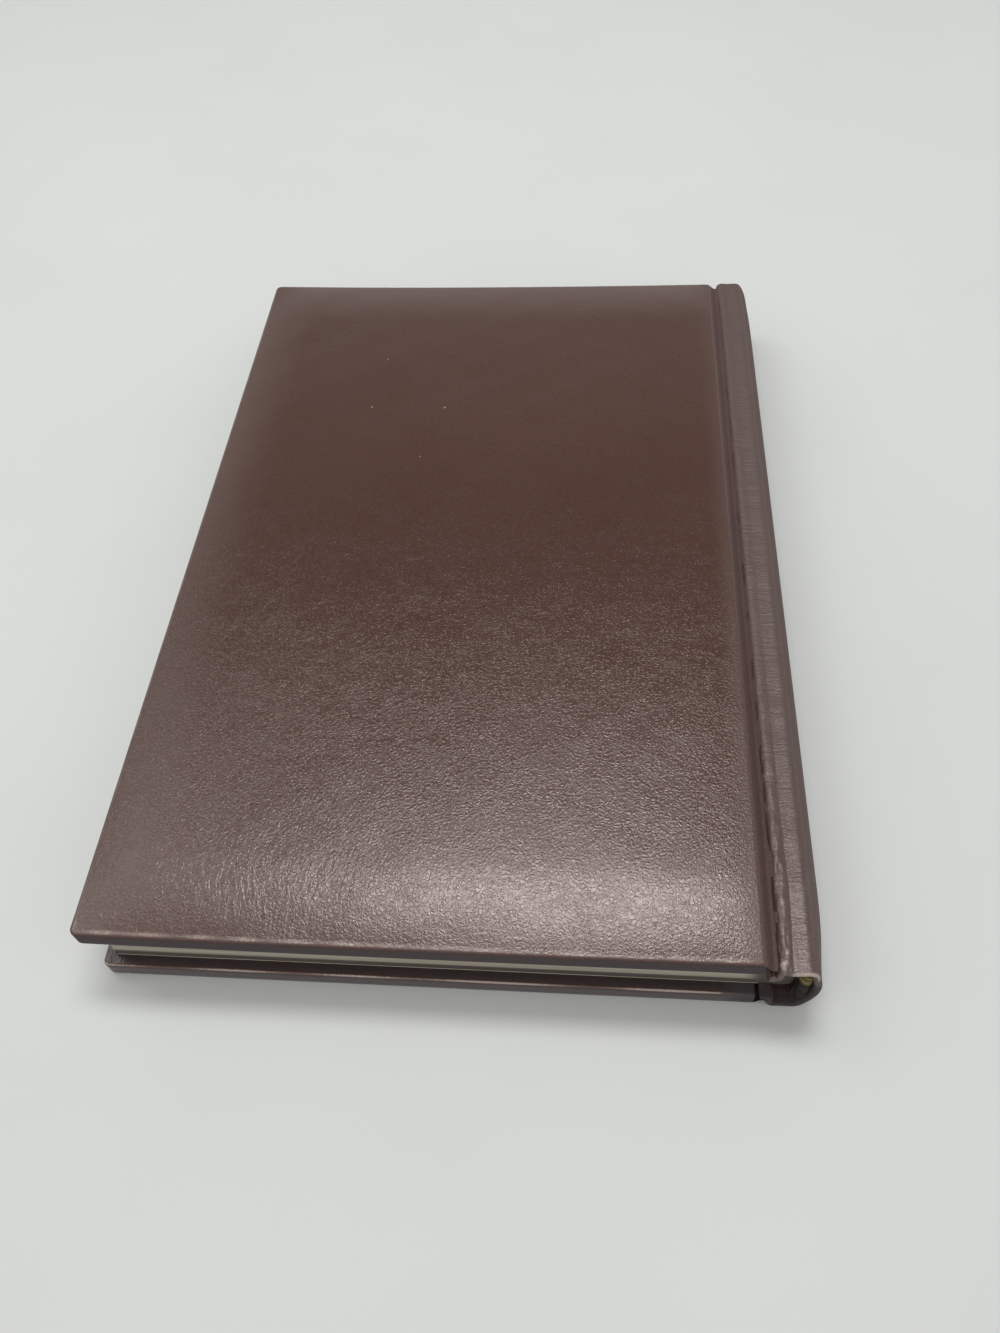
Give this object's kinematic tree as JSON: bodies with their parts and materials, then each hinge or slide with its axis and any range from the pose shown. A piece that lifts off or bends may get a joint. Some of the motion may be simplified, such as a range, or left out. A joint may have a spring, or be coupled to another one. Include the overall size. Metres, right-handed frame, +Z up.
{
  "type": "leather-bound book",
  "caption": "Case-bound book in padded dark leather with a hollow rounded spine, jointed covers, striped head and tail bands and a solid block of pages.",
  "frame": {"origin": "middle of the rectangle that the closed book covers, on the surface that it lies on", "axes": "+Z up through the closed book from its lower cover, +Y from tail to head, +X from the fore-edge to the spine"},
  "size_m": [0.148, 0.2184, 0.021],
  "materials": {
    "leather": "semi-matte, worn",
    "pages": "matte",
    "endpaper": "matte",
    "board": "matte",
    "padding": "matte",
    "gauze": "open weave",
    "kraft": "matte",
    "silk": "wound silk, striped",
    "thread": "linen"
  },
  "bodies": {
    "book_block": {"text_block": "pages", "upper_flyleaf": "endpaper", "lower_flyleaf": "endpaper", "sewing_thread": "thread", "spine_gauze": "gauze", "spine_lining": "kraft", "headband": "silk", "tailband": "silk", "spine_strip": "board", "spine_leather": "leather"},
    "upper_cover": {"upper_board": "board", "upper_padding": "padding", "upper_leather": "leather", "upper_pastedown": "endpaper"},
    "lower_cover": {"lower_board": "board", "lower_padding": "padding", "lower_leather": "leather", "lower_pastedown": "endpaper"}
  },
  "joints": [
    {"name": "upper_cover_hinge", "type": "hinge", "parent": "book_block", "child": "upper_cover", "pos_m": [0.06265, 0, 0.0182], "axis": [0, 1, 0], "range_deg": [0, 178], "deforming": ["spine_leather"]},
    {"name": "lower_cover_hinge", "type": "hinge", "parent": "book_block", "child": "lower_cover", "pos_m": [0.06265, 0, 0.0015], "axis": [0, -1, 0], "range_deg": [0, 178]}
  ]
}
